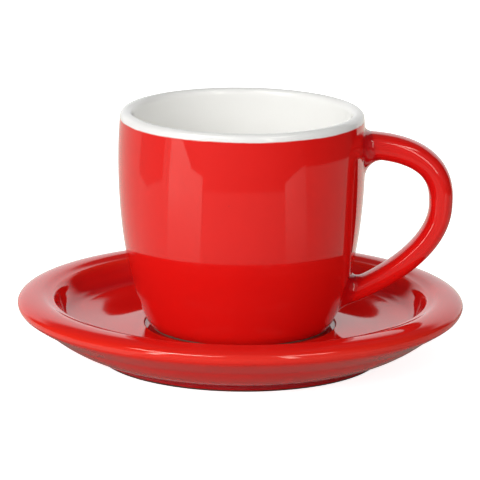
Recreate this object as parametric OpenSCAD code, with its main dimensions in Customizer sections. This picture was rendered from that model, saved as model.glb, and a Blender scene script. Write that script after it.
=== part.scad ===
/* [Cup] */
// Height of the cup from its foot to the top of its rim
cup_h = 56; // [42:0.5:80]
// Diameter over the rim
rim_d = 62; // [50:0.5:80]
// Greatest diameter of the belly
belly_d = 62.8; // [50:0.2:84]
// Thickness of the wall at the lip
lip_t = 3.3; // [2.4:0.1:4.5]
// Thickness of the wall where the inside starts to round into the floor
wall_low_t = 4; // [3:0.1:5]
// Diameter of the foot where it stands
cup_foot_d = 45.5; // [36:0.5:52]
// Width of the foot ring under the cup
cup_ring_w = 3; // [2:0.1:5]
// Depth of the hollow inside the cup's foot ring
cup_hollow_h = 1.8; // [1:0.1:3]
// Thickness of the cup's floor
cup_floor_t = 4.2; // [3:0.1:6]
// How far the white glaze comes down the outside from the rim
liner_drop = 1.9; // [1.7:0.05:4]

/* [Handle] */
// Distance from the belly to the middle of the strap where it stands out most
handle_out = 19.4; // [14:0.1:28]
// Thickness of the strap at the upper root
strap_t = 6.9; // [5:0.1:9]
// Thickness of the strap at the lower root
strap_low_t = 5.2; // [4:0.1:8]
// Width of the strap at the upper root
strap_w = 9.8; // [7:0.1:14]
// Width of the strap at the lower root
strap_low_w = 8.6; // [6:0.1:13]
// Middle of the upper root below the rim
upper_root_drop = 8.6; // [7:0.1:14]
// Middle of the lower root above the foot
lower_root_rise = 7; // [6.5:0.1:12]
// Radius of the fillet in the finger side of the upper root
upper_inner_fillet = 5; // [2:0.1:7]
// Radius of the fillet over the top of the upper root
upper_outer_fillet = 1.6; // [1:0.1:3]
// Radius of the fillet in the finger side of the lower root
lower_inner_fillet = 4; // [2:0.1:6]
// Radius of the fillet under the lower root
lower_outer_fillet = 2; // [1:0.1:3]
// Radius of the fillets at the sides of both roots
side_fillet = 2.6; // [1:0.1:4]

/* [Saucer] */
// Diameter over the saucer's lip
saucer_d = 114; // [104:0.5:150]
// Height of the saucer from its foot to the top of its lip
saucer_h = 16.2; // [14:0.1:22]
// Radius of the saucer's rounded lip
bead_r = 2.25; // [1.6:0.05:3]
// Width of the lip from the outside to its top
saucer_lip_w = 5; // [3.5:0.1:7]
// Width of the lip and the flange from the outside to the flange's inner edge
flange_w = 8.8; // [7:0.1:14]
// Fall of the flange from the top of the lip to its inner edge
flange_fall = 0.8; // [0.4:0.1:2]
// Width of the steep step from the flange down to the well
step_w = 5.7; // [4:0.1:9]
// Rise of the well's floor from the seat out to the foot of the step
well_rise = 0.8; // [0.3:0.1:2]
// Height of the well's floor around the seat
well_h = 8.4; // [7:0.1:11]
// Depth of the round seat that the cup stands in
seat_depth = 0.6; // [0.4:0.1:1.5]
// Room between the cup's foot and the edge of its seat
seat_gap = 1.9; // [1:0.1:4]
// Diameter of the saucer's foot ring where it stands
saucer_foot_d = 72.2; // [60:0.5:86]
// Width of the saucer's foot ring
saucer_ring_w = 3.2; // [2:0.1:6]
// Height of the saucer's foot ring on its outside
saucer_ring_h = 1.7; // [1:0.1:2.4]
// Thickness of the saucer under the cup
saucer_floor_t = 4.8; // [3.5:0.1:6]

/* [Glaze] */
// Thickness of each coat of glaze
glaze_t = 0.35; // [0.2:0.05:0.5]
// Height of the bare clay left round each foot ring
bare_h = 0.45; // [0.4:0.05:1.2]

/* [Hidden] */
$fn = 96;

glaze_red = [0.80, 0.06, 0.06];
glaze_white = [0.93, 0.92, 0.90];
stoneware = [0.80, 0.74, 0.66];

// Steps along each long curve of an outline, each short one, and round each small corner
curve_steps = 20;
short_steps = 9;
corner_steps = 5;

// Outline tools. A line is a list of [point, direction], with the clay on its left.
function unit(v) = v / norm(v);
function left_of(v) = [-v.y, v.x];
function toward(angle) = [cos(angle), sin(angle)];
function mix(a, b, f) = a + f * (b - a);
function cubic(p, t) =
  pow(1 - t, 3) * p[0] + 3 * t * pow(1 - t, 2) * p[1] + 3 * t * t * (1 - t) * p[2] + pow(t, 3) * p[3];
function cubic_way(p, t) =
  unit(pow(1 - t, 2) * (p[1] - p[0]) + 2 * t * (1 - t) * (p[2] - p[1]) + t * t * (p[3] - p[2]));
function sweep(p, steps = curve_steps) =
  [for (i = [0 : steps]) [cubic(p, i / steps), cubic_way(p, i / steps)]];

// A curve from a to b that leaves a at one angle and reaches b at another
function bend(a, a_angle, a_arm, b, b_angle, b_arm, steps = curve_steps) =
  sweep([a, a + a_arm * toward(a_angle), b - b_arm * toward(b_angle), b], steps);

// An arc round a centre
function arc(centre, r, from, to, steps = curve_steps) = [
  for (i = [0 : steps])
    let (a = from + (to - from) * i / steps)
    [centre + r * toward(a), sign(to - from) * [-sin(a), cos(a)]]
];

// A rounded corner at b on the way from a to c
function corner(a, b, c, r) =
  let (u = unit(b - a), v = unit(c - b))
  let (side = sign(u.x * v.y - u.y * v.x), turn = acos(u * v))
  let (start = b - r * tan(turn / 2) * u, centre = start + side * r * left_of(u))
  let (from = atan2(start.y - centre.y, start.x - centre.x))
  arc(centre, r, from, from + side * turn, corner_steps);

function straight(a, b) = [[a, unit(b - a)], [b, unit(b - a)]];
function inset(line, depth) = [for (s = line) s[0] + depth * left_of(s[1])];
function back(list) = [for (i = [len(list) - 1 : -1 : 0]) list[i]];
function rest(list) = [for (i = [1 : len(list) - 1]) list[i]];

// A coat of glaze is the band between a line and the same line one coat deeper
module coat(line) {
  rotate_extrude() polygon(concat(inset(line, 0), back(inset(line, glaze_t))));
}

// The cup's outline, in millimetres from its axis and its foot
foot_r = cup_foot_d / 2;
belly_r = belly_d / 2;
lip_r = lip_t / 2;
lip_centre = [rim_d / 2 - lip_r, cup_h - lip_r];
lip_lean = 4;
belly_share = 0.79;
belly_z = belly_share * cup_h;
foot_angle = 52;
foot_arm_share = 0.094;
belly_arm_share = 0.607;
upper_arm_share = 0.4;
foot_edge_r = 0.35;

upper_rise = lip_centre.y - belly_z;
lower_side = bend(
  [foot_r, 0], foot_angle, foot_arm_share * belly_z,
  [belly_r, belly_z], 90, belly_arm_share * belly_z
);
upper_side = bend(
  [belly_r, belly_z], 90, upper_arm_share * upper_rise,
  lip_centre + lip_r * toward(lip_lean), 90 + lip_lean, upper_arm_share * upper_rise
);
cup_side = concat(lower_side, rest(upper_side));
cup_lip = arc(lip_centre, lip_r, lip_lean, 180 + lip_lean);

// The inside follows the outside, with a wall that thickens downwards, into a bowl with a level floor
cup_floor_z = cup_hollow_h + cup_floor_t;
bowl_share = 0.42;
bowl_z = bowl_share * cup_h;
function wall_t(z) = mix(lip_t, wall_low_t, (lip_centre.y - z) / (lip_centre.y - bowl_z));
inner_wall = [
  for (s = back(cup_side)) if (s[0].y > bowl_z) [s[0] + wall_t(s[0].y) * left_of(s[1]), -s[1]]
];
bowl_start = inner_wall[len(inner_wall) - 1];
level_share = 0.42;
bowl_arm_shares = [0.45, 0.5];
bowl_fall = bowl_start[0].y - cup_floor_z;
bowl_curve = sweep([
  bowl_start[0],
  bowl_start[0] + bowl_arm_shares[0] * bowl_fall * bowl_start[1],
  [(level_share + bowl_arm_shares[1] * (1 - level_share)) * bowl_start[0].x, cup_floor_z],
  [level_share * bowl_start[0].x, cup_floor_z]
]);
cup_inside = concat(rest(inner_wall), rest(bowl_curve), [[[0, cup_floor_z], [-1, 0]]]);

// The hollow in the cup's foot, and the bare ring that the cup stands on
hollow_r = foot_r - cup_ring_w;
hollow_corner_r = 1.2;
cup_hollow = concat(
  [[[0, cup_hollow_h], [1, 0]]],
  corner([0, cup_hollow_h], [hollow_r, cup_hollow_h], [hollow_r, 0], hollow_corner_r),
  [[[hollow_r, bare_h], [0, -1]]]
);
cup_ring = concat(
  corner([hollow_r, bare_h], [hollow_r, 0], [foot_r, 0], foot_edge_r),
  corner([hollow_r, 0], [foot_r, 0], [foot_r, 0] + foot_edge_r * toward(foot_angle), foot_edge_r)
);

// The point of a line at a given height, found between its two nearest points
function at_height(line, z) =
  let (i = max([for (k = [0 : len(line) - 2]) if (line[k][0].y <= z) k]))
  let (f = (z - line[i][0].y) / (line[i + 1][0].y - line[i][0].y))
  [line[i][0] + f * (line[i + 1][0] - line[i][0]), unit(line[i][1] + f * (line[i + 1][1] - line[i][1]))];

// Where the red coat starts above the foot and where it meets the white one
red_start = at_height(cup_side, bare_h);
red_end = at_height(cup_side, cup_h - liner_drop);
red_line = concat(
  [red_start], [for (s = cup_side) if (s[0].y > bare_h && s[0].y < red_end[0].y) s], [red_end]
);
liner_line = concat([red_end], [for (s = cup_side) if (s[0].y > red_end[0].y) s], cup_lip, cup_inside);

module cup_body() {
  color(stoneware)
  translate([0, 0, seat_z])
  rotate_extrude() polygon(concat(
    inset(cup_hollow, glaze_t),
    inset(cup_ring, 0),
    inset([red_start], 0),
    inset(red_line, glaze_t),
    inset(liner_line, glaze_t)
  ));
}

module cup_liner_glaze() {
  color(glaze_white) translate([0, 0, seat_z]) coat(liner_line);
}

module cup_base_glaze() {
  color(glaze_red) translate([0, 0, seat_z]) coat(cup_hollow);
}

// The red coat stops round both roots of the handle, which sit on the clay
module cup_outside_glaze() {
  color(glaze_red) translate([0, 0, seat_z])
  difference() {
    coat(red_line);
    for (end = [0, 1]) root_cut(end);
  }
}

// The handle's middle line runs out from inside the wall, round and back into it
root_inset = 3.2;
upper_root_angle = 1;
lower_root_angle = 16.6;
outmost_share = 0.626;
upper_arm_shares = [1.05, 0.215];
lower_arm_shares = [0.51, 0.37];
clay_table = [for (p = inset(red_line, glaze_t)) [p.y, p.x]];
glazed_table = [for (p = inset(red_line, 0)) [p.y, p.x]];
function clay_radius(z) = lookup(z, clay_table);
function glazed_radius(z) = lookup(z, glazed_table);
upper_z = cup_h - upper_root_drop;
lower_z = lower_root_rise;
upper_root = [glazed_radius(upper_z) - root_inset, upper_z];
lower_root = [glazed_radius(lower_z) - root_inset, lower_z];
outmost = [belly_r + handle_out, lower_z + outmost_share * (upper_z - lower_z)];
upper_half = [
  upper_root,
  upper_root + upper_arm_shares[0] * (outmost.x - upper_root.x) * toward(upper_root_angle),
  outmost + [0, upper_arm_shares[1] * (upper_z - outmost.y)],
  outmost
];
lower_half = [
  outmost,
  outmost - [0, lower_arm_shares[0] * (outmost.y - lower_z)],
  lower_root + lower_arm_shares[1] * (outmost.x - lower_root.x) * toward(lower_root_angle),
  lower_root
];
function spine(s) = s < 0.5 ? cubic(upper_half, 2 * s) : cubic(lower_half, 2 * s - 1);
function spine_way(s) = s < 0.5 ? cubic_way(upper_half, 2 * s) : cubic_way(lower_half, 2 * s - 1);

// The strap's section is a softened rectangle that flares into fillets at both roots
sides = 24;
rings = 44;
softness = 0.8;
function soft(x) = sign(x) * pow(abs(x), softness);
function fillet_radius(s, a) =
  let (outer = s < 0.5 ? upper_outer_fillet : lower_outer_fillet)
  let (inner = s < 0.5 ? upper_inner_fillet : lower_inner_fillet)
  mix(side_fillet, cos(a) > 0 ? outer : inner, pow(cos(a), 2));
fillet_edge_share = 0.15;
function flare(gap, r) =
  let (d = max(gap, 0) + fillet_edge_share * r)
  d >= r ? 0 : r - sqrt(r * r - pow(r - d, 2));

// A point of the strap's surface: s runs along the strap, a goes round it, skin is glaze over the clay
function strap_point(s, a, skin) =
  let (c = spine(s), n = left_of(spine_way(s)))
  let (half_t = mix(strap_t, strap_low_t, s) / 2 - glaze_t)
  let (half_w = mix(strap_w, strap_low_w, s) / 2 - glaze_t)
  let (out = [n.x * soft(cos(a)), soft(sin(a)), n.y * soft(cos(a))])
  let (way = unit([out.x * half_t, out.y * half_w, out.z * half_t]))
  let (p = [c.x + out.x * half_t, out.y * half_w, c.y + out.z * half_t])
  p + (skin + flare(wall_gap(p), fillet_radius(s, a))) * way;

// A film of slip joins the roots to the wall
slip_t = 0.03;
function wall_gap(p) = norm([p.x, p.y]) - glazed_radius(p.z);
function clay_gap(p) = norm([p.x, p.y]) - clay_radius(p.z) - slip_t;
function coat_gap(p) = wall_gap(p) - slip_t;

// Where the strap's surface line at angle a meets the wall, between an inside and an outside place
root_search = 0.2;
search_steps = 20;
function meet(a, skin, on_clay, low, high, n) =
  let (mid = (low + high) / 2, p = strap_point(mid, a, skin))
  let (gap = on_clay ? clay_gap(p) : coat_gap(p))
  n == 0 ? mid :
  gap < 0 ? meet(a, skin, on_clay, mid, high, n - 1) : meet(a, skin, on_clay, low, mid, n - 1);
function first_place(a, skin, on_clay) = meet(a, skin, on_clay, 0, root_search, search_steps);
function last_place(a, skin, on_clay) = meet(a, skin, on_clay, 1, 1 - root_search, search_steps);

// Rings lie closer together near the roots
crowding_share = 0.75;
function spread(t) = t - crowding_share * sin(360 * t) / (2 * PI);
function strap_rings(skin) =
  let (first = [for (k = [0 : sides - 1]) first_place(360 * k / sides, skin, false)])
  let (last = [for (k = [0 : sides - 1]) last_place(360 * k / sides, skin, false)])
  [for (i = [0 : rings]) [for (k = [0 : sides - 1])
    strap_point(mix(first[k], last[k], spread(i / rings)), 360 * k / sides, skin)]];
function clay_ring(end) = [for (k = [0 : sides - 1])
  let (a = 360 * k / sides)
  strap_point(end == 0 ? first_place(a, 0, true) : last_place(a, 0, true), a, 0)];

// The seat of a root on the clay: rings of points shrinking to a middle, all on the wall
seat_rings = 3;
function on_wall(y, z) = [sqrt(pow(clay_radius(z) + slip_t, 2) - y * y), y, z];
function middle(ring) = let (z = [for (p = ring) p.z]) (max(z) + min(z)) / 2;
function seat(ring) = [for (i = [1 : seat_rings - 1]) [for (p = ring)
  let (f = 1 - i / seat_rings)
  on_wall(f * p.y, mix(middle(ring), p.z, f))]];
function seat_middle(ring) = on_wall(0, middle(ring));

clay_strap = strap_rings(0);
glazed_strap = strap_rings(glaze_t);
clay_roots = [clay_ring(0), clay_ring(1)];

// Triangles between neighbouring rings of a stack of rings
function join(low, high, k) =
  let (k2 = (k + 1) % sides)
  [[low + k, high + k2, high + k], [low + k, low + k2, high + k2]];
function band(low, high) = [for (k = [0 : sides - 1]) each join(low, high, k)];
function stack(from, count) =
  [for (i = [0 : count - 2]) each band(from + i * sides, from + (i + 1) * sides)];
function fan(ring, tip, flip) = [for (k = [0 : sides - 1])
  let (k2 = (k + 1) % sides)
  flip ? [tip, ring + k, ring + k2] : [tip, ring + k2, ring + k]];
function flat(lists) = [for (l = lists) each l];

module handle() {
  stacked = concat(
    back(seat(clay_roots[0])), [clay_roots[0]], clay_strap, [clay_roots[1]], seat(clay_roots[1])
  );
  count = len(stacked);
  points = concat(flat(stacked), [seat_middle(clay_roots[0]), seat_middle(clay_roots[1])]);
  color(glaze_red) translate([0, 0, seat_z])
  polyhedron(points, concat(
    stack(0, count),
    fan(0, count * sides, false),
    fan((count - 1) * sides, count * sides + 1, true)
  ));
}

// The coat over the strap is open at both ends, where it meets the coat of the cup
module handle_glaze() {
  count = rings + 1;
  inside = count * sides;
  color(glaze_red) translate([0, 0, seat_z])
  polyhedron(concat(flat(glazed_strap), flat(clay_strap)), concat(
    stack(0, count),
    [for (f = stack(inside, count)) back(f)],
    [for (f = band(0, inside)) back(f)],
    band((count - 1) * sides, inside + (count - 1) * sides)
  ));
}

// The opening in the cup's red coat follows the root's outline, with a little room round it
root_room = 0.25;
module root_cut(end) {
  ring = clay_roots[end];
  mid_z = middle(ring);
  outline = [for (p = ring) let (q = [p.y, p.z - mid_z]) q + root_room * unit(q)];
  translate([0, 0, mid_z]) rotate([90, 0, 90]) linear_extrude(height = belly_d) polygon(outline);
}

// The saucer's outline, in millimetres from its axis and the plane that it stands on
saucer_foot_r = saucer_foot_d / 2;
bead_centre = [saucer_d / 2 - bead_r, saucer_h - bead_r];
bead_from = -75;
seat_z = well_h - seat_depth;
seat_r = foot_r + seat_gap;
base_z = seat_z - saucer_floor_t;
ring_lean = 61;
kink_r = 1.2;
ring_top = [saucer_foot_r + saucer_ring_h / tan(ring_lean), saucer_ring_h];
under_start_angle = 15;
under_turn_shares = [0.72, 0.655];
under_turn_angle = 39;
under_arm_share = 0.34;
bead_foot = bead_centre + bead_r * toward(bead_from);
under_turn = [
  mix(ring_top.x, bead_foot.x, under_turn_shares[0]), mix(ring_top.y, bead_foot.y, under_turn_shares[1])
];
flat_arm = under_arm_share * (under_turn.x - ring_top.x);
steep_arm = under_arm_share * (bead_foot.x - under_turn.x);
under_line = concat(
  corner([saucer_foot_r, 0], ring_top, ring_top + kink_r * toward(under_start_angle), kink_r),
  bend(
    ring_top + kink_r * toward(under_start_angle), under_start_angle, flat_arm,
    under_turn, under_turn_angle, flat_arm
  ),
  rest(bend(under_turn, under_turn_angle, steep_arm, bead_foot, 90 + bead_from, steep_arm))
);

// The lip rounds over from its side to its top
lip_side = bead_centre + [bead_r, 0];
lip_top = [saucer_d / 2 - saucer_lip_w, saucer_h];
lip_arm_share = 0.55;
bead_line = rest(concat(
  arc(bead_centre, bead_r, bead_from, 0, short_steps),
  rest(bend(
    lip_side, 90, lip_arm_share * (lip_top.y - lip_side.y),
    lip_top, 180, lip_arm_share * (lip_side.x - lip_top.x), short_steps
  ))
));

// The flange falls gently inwards to a soft edge, below which a steep step drops to the well
flange_angle = 10;
flange_edge = [saucer_d / 2 - flange_w, saucer_h - flange_fall];
flange_arm = 0.5 * (lip_top.x - flange_edge.x);
flange_line = rest(bend(
  lip_top, 180, flange_arm, flange_edge, 180 + flange_angle, flange_arm, short_steps
));
step_angle = 62;
step_foot_angle = 14;
step_shares = [0.3, 0.47];
step_foot = [flange_edge.x - step_w, well_h + well_rise];
step_middle = [
  mix(flange_edge.x, step_foot.x, step_shares[0]), mix(flange_edge.y, step_foot.y, step_shares[1])
];
step_top_run = norm(step_middle - flange_edge);
step_foot_run = norm(step_foot - step_middle);
step_line = rest(concat(
  bend(
    flange_edge, 180 + flange_angle, 0.25 * step_top_run,
    step_middle, 180 + step_angle, 0.4 * step_top_run, short_steps
  ),
  rest(bend(
    step_middle, 180 + step_angle, 0.5 * step_foot_run,
    step_foot, 180 + step_foot_angle, 0.45 * step_foot_run, short_steps
  ))
));

// The well's floor runs in to the seat
seat_edge_r = 0.6;
well_arm = 0.4 * (step_foot.x - seat_r);
well_line = rest(bend(
  step_foot, 180 + step_foot_angle, well_arm,
  [seat_r + seat_edge_r, well_h], 180, well_arm, short_steps
));
seat_wall_angle = 70;
seat_corner_r = 0.3;
seat_wall_r = seat_r - seat_depth / tan(seat_wall_angle);
seat_line = concat(
  corner([seat_r + seat_edge_r, well_h], [seat_r, well_h], [seat_wall_r, seat_z], seat_corner_r),
  corner([seat_r, well_h], [seat_wall_r, seat_z], [0, seat_z], seat_corner_r),
  [[[0, seat_z], [-1, 0]]]
);
saucer_top = concat(bead_line, flange_line, step_line, well_line, seat_line);

saucer_hollow_r = saucer_foot_r - saucer_ring_w;
saucer_corner_r = 1.6;
saucer_hollow = concat(
  [[[0, base_z], [1, 0]]],
  corner([0, base_z], [saucer_hollow_r, base_z], [saucer_hollow_r, 0], saucer_corner_r),
  [[[saucer_hollow_r, bare_h], [0, -1]]]
);
saucer_ring = concat(
  corner([saucer_hollow_r, bare_h], [saucer_hollow_r, 0], [saucer_foot_r, 0], foot_edge_r),
  corner([saucer_hollow_r, 0], [saucer_foot_r, 0], ring_top, foot_edge_r)
);
saucer_start = [
  [saucer_foot_r, 0] + bare_h / sin(ring_lean) * toward(ring_lean), toward(ring_lean)
];
saucer_line = concat([saucer_start], under_line, saucer_top);

module saucer_body() {
  color(stoneware)
  rotate_extrude() polygon(concat(
    inset(saucer_hollow, glaze_t),
    inset(saucer_ring, 0),
    inset([saucer_start], 0),
    inset(saucer_line, glaze_t)
  ));
}

module saucer_glaze() {
  color(glaze_red) coat(saucer_line);
}

module saucer_base_glaze() {
  color(glaze_red) coat(saucer_hollow);
}

saucer_body();
saucer_glaze();
saucer_base_glaze();
cup_body();
cup_liner_glaze();
cup_outside_glaze();
cup_base_glaze();
handle();
handle_glaze();
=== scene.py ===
# %% [markdown]
# # An espresso cup and its saucer
#
# The real thing is a small stoneware cup, red outside and white inside, that stands in the round seat of a wide red
# saucer. Everything round on it was turned or cast about one axis, so its shape is a single outline spun round that
# axis. The loop handle was made apart and stuck on with slip, and glaze runs over it in one go. This lesson draws the
# same outlines as the construction model does, spins them finely enough for clean reflections, and dresses them in
# glaze that pools, thins and ripples as fired glaze does.
#
# The imported construction model is loaded first, and it stays where it is.

# %% Load the construction model
import math

import bmesh
import bpy
import numpy as np
from mathutils import Matrix, Vector


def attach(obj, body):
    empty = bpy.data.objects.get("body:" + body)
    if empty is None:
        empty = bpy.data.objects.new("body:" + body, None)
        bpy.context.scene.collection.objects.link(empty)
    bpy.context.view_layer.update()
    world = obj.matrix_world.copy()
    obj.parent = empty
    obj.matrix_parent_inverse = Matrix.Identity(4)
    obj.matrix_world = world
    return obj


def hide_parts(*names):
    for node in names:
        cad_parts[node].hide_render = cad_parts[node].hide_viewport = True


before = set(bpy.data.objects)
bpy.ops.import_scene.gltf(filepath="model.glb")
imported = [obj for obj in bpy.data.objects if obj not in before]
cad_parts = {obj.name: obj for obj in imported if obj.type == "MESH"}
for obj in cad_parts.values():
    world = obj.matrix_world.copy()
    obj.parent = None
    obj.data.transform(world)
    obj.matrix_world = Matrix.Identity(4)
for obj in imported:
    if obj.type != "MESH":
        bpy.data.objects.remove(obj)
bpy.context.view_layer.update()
MM = 0.001

# %% [markdown]
# ## The camera
#
# A product photograph of a small cup is taken from about a metre away with a long lens, a little above the table,
# which keeps the ellipses of the rims calm. The camera looks along +Y, tips down by 13.6 degrees and rolls by less
# than one degree. It is made first, so that every later step can be looked at through it.

# %% Set up the camera
LENS_MM, SENSOR_W_MM, NEAREST_SEEN = 269.4, 36, 0.01
CAMERA_PLACE, CAMERA_TIP, CAMERA_ROLL = (-0.00023, -0.8915, 0.2461), 76.37, 0.62

camera_data = bpy.data.cameras.new("camera")
camera_data.lens = LENS_MM
camera_data.sensor_width = SENSOR_W_MM
camera_data.clip_start = NEAREST_SEEN
camera = bpy.data.objects.new("camera", camera_data)
bpy.context.scene.collection.objects.link(camera)
camera.matrix_world = (
    Matrix.Translation(CAMERA_PLACE)
    @ Matrix.Rotation(math.radians(CAMERA_TIP), 4, "X")
    @ Matrix.Rotation(math.radians(CAMERA_ROLL), 4, "Z")
)
bpy.context.scene.camera = camera
print("camera stands", round(camera.location.length, 3), "m from the middle of the saucer's foot")

# %% [markdown]
# ## Outline tools
#
# An outline could be traced point by point, but arcs and smooth curves between a few measured places keep it clean
# and easy to change. Lengths are in millimetres here, as a potter would give them. Every outline runs with the clay
# on its left, so "one coat deeper" always means a step to the left.

# %% Draw curves, arcs and rounded corners
CURVE_STEPS = 44
SHORT_STEPS = 22
CORNER_STEPS = 9
TINY = 1e-4


def toward(angle):
    return np.array([math.cos(math.radians(angle)), math.sin(math.radians(angle))])


def unit(v):
    return v / np.linalg.norm(v)


def left_of(v):
    return np.array([-v[1], v[0]])


def cubic(p, t):
    p, t = np.array(p, float), np.asarray(t, float)[..., None]
    return (1 - t) ** 3 * p[0] + 3 * t * (1 - t) ** 2 * p[1] + 3 * t * t * (1 - t) * p[2] + t ** 3 * p[3]


def curve(*p, steps=CURVE_STEPS):
    return cubic(p, np.linspace(0, 1, steps + 1))


def bend(a, a_angle, a_arm, b, b_angle, b_arm, steps=CURVE_STEPS):
    """A curve that leaves a at one angle and reaches b at another."""
    a, b = np.array(a, float), np.array(b, float)
    return curve(a, a + a_arm * toward(a_angle), b - b_arm * toward(b_angle), b, steps=steps)


def arc(centre, r, start, end, steps=CURVE_STEPS):
    return np.array([centre + r * toward(a) for a in np.linspace(start, end, steps + 1)])


def corner(a, b, c, r):
    """The rounded corner at b on the way from a to c."""
    a, b, c = (np.array(p, float) for p in (a, b, c))
    u, v = unit(b - a), unit(c - b)
    side = math.copysign(1, u[0] * v[1] - u[1] * v[0])
    turn = math.degrees(math.acos(float(u @ v)))
    start = b - r * math.tan(math.radians(turn / 2)) * u
    centre = start + side * r * left_of(u)
    first = math.degrees(math.atan2(start[1] - centre[1], start[0] - centre[0]))
    return arc(centre, r, first, first + side * turn, CORNER_STEPS)


# %% [markdown]
# An outline also has to know how far along it a place is and which way its surface faces there. Both come from its
# points. Glaze needs one thing more: where the outline hollows in, it pools and looks deeper, and where the outline
# turns over an edge, it thins. The bend of the outline, smoothed over a millimetre or so, says which.

# %% Measure along an outline
POOL_W = 0.8


class Outline:
    """A line of points with the clay on its left."""

    def __init__(self, *runs):
        points = np.vstack([np.atleast_2d(np.array(run, float)) for run in runs])
        steps = np.linalg.norm(np.diff(points, axis=0), axis=1)
        self.points = points[np.concatenate([[True], steps > TINY])]
        self.along = np.concatenate([[0], np.cumsum(np.linalg.norm(np.diff(self.points, axis=0), axis=1))])
        way = np.gradient(self.points, self.along, axis=0)
        way /= np.linalg.norm(way, axis=1)[:, None]
        for i in np.flatnonzero(self.points[:, 0] < TINY):
            way[i] = [math.copysign(1, way[i][0]), 0]
        self.left = np.stack([-way[:, 1], way[:, 0]], axis=1)
        turn = np.gradient(np.unwrap(np.arctan2(way[:, 1], way[:, 0])), self.along)
        self.hollow = self.smooth(-turn, POOL_W)
        self.length = self.along[-1]

    def smooth(self, values, width):
        weights = np.exp(-((self.along[:, None] - self.along[None, :]) / width) ** 2)
        spacing = np.gradient(self.along)
        return (weights * spacing) @ values / (weights @ spacing)

    def at(self, along, depth):
        """Radius and height at places along the line, sunk into the clay by depth."""
        place, left = ([np.interp(along, self.along, v[:, i]) for i in (0, 1)] for v in (self.points, self.left))
        return [place[0] + depth * left[0], place[1] + depth * left[1]]

    def place_of_height(self, height):
        """How far along the first run the line reaches a height, on its way up."""
        top = int(np.argmax(self.points[:, 1]))
        return float(np.interp(height, self.points[:top + 1, 1], self.along[:top + 1]))

    def part(self, start, end):
        inner = self.points[(self.along > start + TINY) & (self.along < end - TINY)]
        return Outline(np.transpose(self.at(start, 0)), inner, np.transpose(self.at(end, 0)))


# %% [markdown]
# ## Spinning an outline into a mesh
#
# Blender's Screw modifier could spin a curve, but fired glaze never ends in a perfect circle. Making the rings
# ourselves lets the edge of a coat wander a little as it goes round. A ring on the axis becomes a single point.

# %% Spin rings into a mesh
SEGMENTS = 224
ANGLES = np.linspace(0, 2 * math.pi, SEGMENTS, endpoint=False)


def make_object(name, places, faces, values):
    """A mesh object from places in metres, with named numbers on its vertices."""
    mesh = bpy.data.meshes.new(name)
    mesh.from_pydata(places, [], faces)
    for label, numbers in values.items():
        mesh.attributes.new(label, "FLOAT", "POINT").data.foreach_set("value", np.array(numbers, dtype=np.float32))
    thing = bpy.data.objects.new(name, mesh)
    bpy.context.scene.collection.objects.link(thing)
    return thing


def make_piece(name, places, faces, values):
    """A smooth piece of the cup or the saucer, from places in millimetres."""
    piece = make_object(name, (np.array(places) * MM).tolist(), faces, values)
    piece.data.polygons.foreach_set("use_smooth", [True] * len(faces))
    piece.data.update()
    print(name, "has", len(places), "vertices and", len(faces), "faces")
    return piece


def spin(name, rings, values, lift=0.0):
    """Rings, each a radius and a height or as many of both as there are segments, spun into a closed skin."""
    radius, height = ([np.broadcast_to(ring[i], SEGMENTS) for ring in rings] for i in (0, 1))
    places, starts, numbers = [], [], {label: [] for label in values}
    for i in range(len(radius)):
        starts.append(len(places))
        pole = np.max(radius[i]) < TINY
        for j in range(1 if pole else SEGMENTS):
            r, a = (0 if pole else radius[i][j]), ANGLES[j]
            places.append((r * math.cos(a), r * math.sin(a), height[i][j] + lift))
            for label in values:
                numbers[label].append(values[label][i])
    counts = np.diff(starts + [len(places)])
    faces = []
    for i in range(len(radius)):
        i2 = (i + 1) % len(radius)
        for j in range(SEGMENTS):
            j2 = (j + 1) % SEGMENTS
            low = [starts[i]] if counts[i] == 1 else [starts[i] + j, starts[i] + j2]
            high = [starts[i2]] if counts[i2] == 1 else [starts[i2] + j2, starts[i2] + j]
            if len(low) + len(high) > 2:
                faces.append(low + high)
    return make_piece(name, places, faces, numbers)


# %% [markdown]
# A coat of glaze is a skin between the outline and the same outline one coat deeper. Where it stops above a bare foot
# ring, surface tension draws its edge into a small round roll, and the edge wanders by a tenth of a millimetre. That
# pull fades out a few millimetres from the edge. Where the red coat meets the white one, they end flush.

# %% Lay a coat of glaze on an outline
GLAZE_T = 0.35
ROLL_W, ROLL_STEPS, ROLL_SPACE = 0.55, 7, 0.05
WANDER, WANDER_REACH, WAVES_ROUND, SMALLEST_WAVE = 0.11, 3, (2, 3, 5, 8, 13, 21), 0.3
NO_BORDER = 1000.0
BARE_H = 0.45


def wander(angles, seed):
    """A slow wobble that closes on itself, between about -1 and 1."""
    draw = np.random.default_rng(seed)
    waves = [(n, draw.uniform(SMALLEST_WAVE, 1) / n ** 0.5, draw.uniform(0, 2 * math.pi)) for n in WAVES_ROUND]
    return sum(size * np.sin(n * angles + phase) for n, size, phase in waves) / 2


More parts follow.
